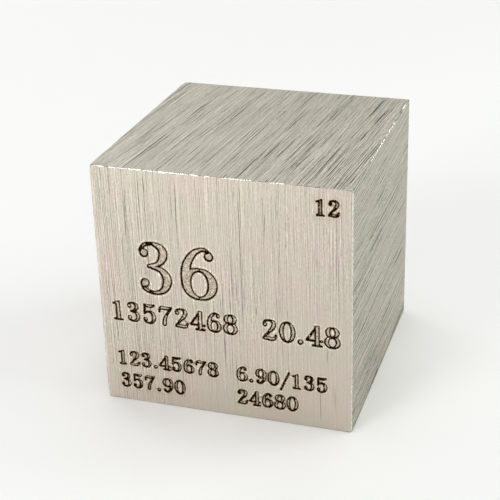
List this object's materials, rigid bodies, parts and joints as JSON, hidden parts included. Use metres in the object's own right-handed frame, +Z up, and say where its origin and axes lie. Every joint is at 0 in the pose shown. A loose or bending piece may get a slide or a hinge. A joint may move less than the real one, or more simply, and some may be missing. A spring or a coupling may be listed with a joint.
{
  "type": "engraved bismuth cube",
  "caption": "Solid brushed bismuth cube with lightly broken edges and plain figures engraved in its front face, a display or reference weight that rests on any face.",
  "frame": {"origin": "middle of the underside", "axes": "+Z up, -Y out of the engraved front, +X to the right as the front is read"},
  "size_m": [0.0254, 0.0254, 0.0254],
  "materials": {
    "brushed_bismuth": "satin bismuth metal, brushed in one direction on each face, warm grey with a faint pink and green cast; engraved lines darkened by heat"
  },
  "bodies": {
    "root": {"bismuth_cube": "brushed_bismuth"}
  },
  "joints": []
}
